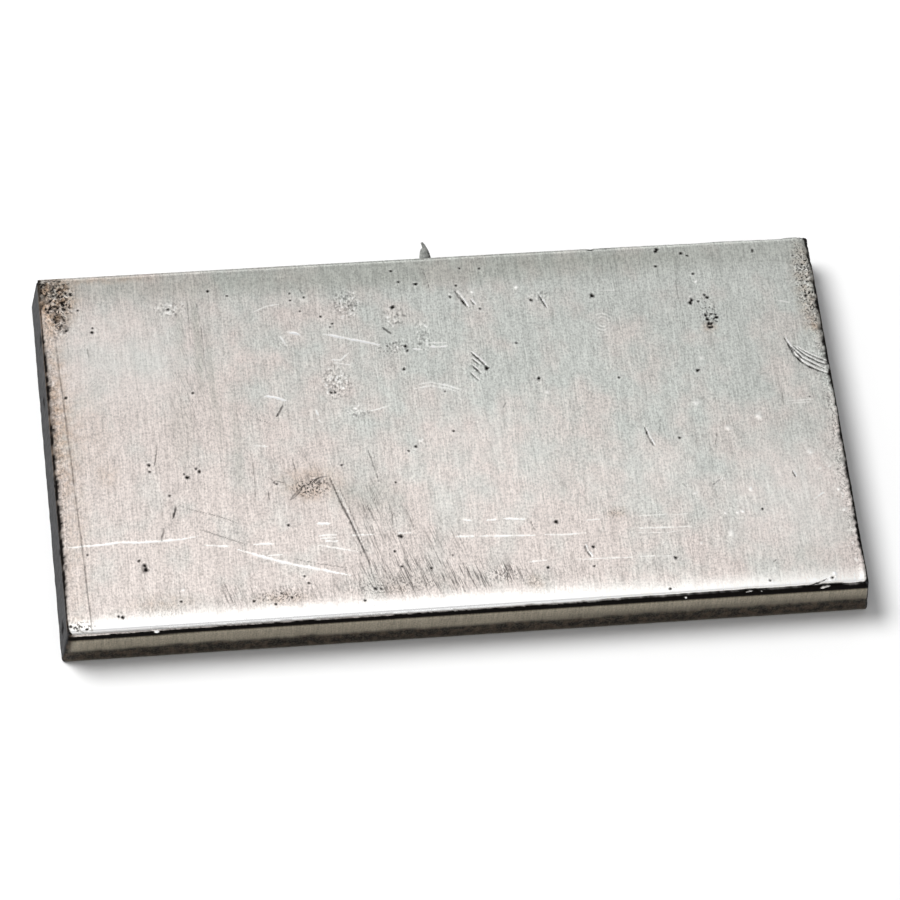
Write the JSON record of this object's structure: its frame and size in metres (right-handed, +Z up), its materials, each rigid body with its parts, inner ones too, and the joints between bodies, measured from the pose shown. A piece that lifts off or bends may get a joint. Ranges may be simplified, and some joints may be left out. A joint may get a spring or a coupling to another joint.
{
  "type": "metal ingot",
  "caption": "Thin flat cast bar with rolled-over long edges, ends that lean in a little and a small hooked spur of casting flash on its back face.",
  "frame": {"origin": "middle of the bottom face that the ingot lies on", "axes": "+X along the bar's length, +Y across its width towards the back face with the spur, +Z up through its thickness"},
  "size_m": [0.0984, 0.0537, 0.0066],
  "materials": {
    "ingot": "satin"
  },
  "bodies": {
    "root": {"ingot": "ingot"}
  },
  "joints": []
}
